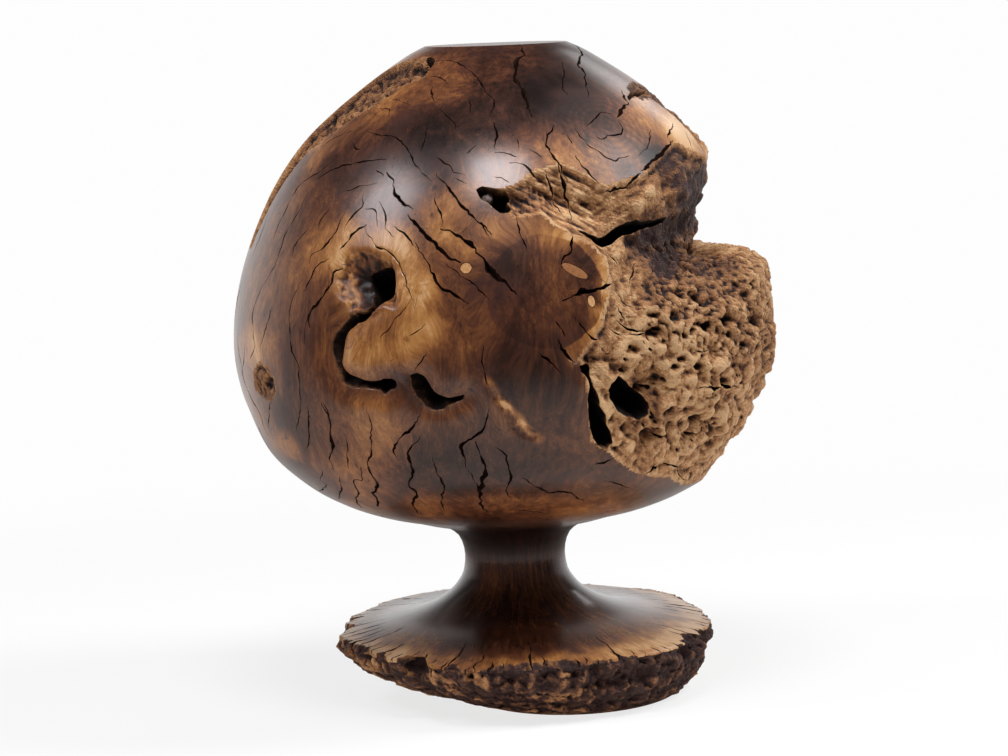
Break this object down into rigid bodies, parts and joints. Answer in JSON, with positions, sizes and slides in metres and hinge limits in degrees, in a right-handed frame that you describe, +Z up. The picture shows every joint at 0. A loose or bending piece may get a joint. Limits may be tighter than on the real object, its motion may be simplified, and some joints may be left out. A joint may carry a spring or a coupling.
{
  "type": "burl wood sculpture",
  "caption": "Turned burl wood globe on a waisted flared foot, polished outside, with the burl's natural rough skin, hollows and drying cracks left in it.",
  "frame": {"origin": "on the turning axis, at the floor, in the patch the foot stands on", "axes": "+Z up along the turning axis, -Y the front that the eye-shaped hollow and the plugs face, +X towards the large natural rough face"},
  "size_m": [0.2489, 0.251, 0.3],
  "materials": {
    "burl": "oiled and polished burl, rough where the natural skin shows",
    "plug_round": "polished end grain",
    "plug_oval": "polished end grain",
    "plug_long": "polished",
    "dead_knot": "weathered grey"
  },
  "bodies": {
    "root": {"burl": "burl", "plug_round": "plug_round", "plug_oval": "plug_oval", "plug_long": "plug_long", "dead_knot": "dead_knot"}
  },
  "joints": []
}
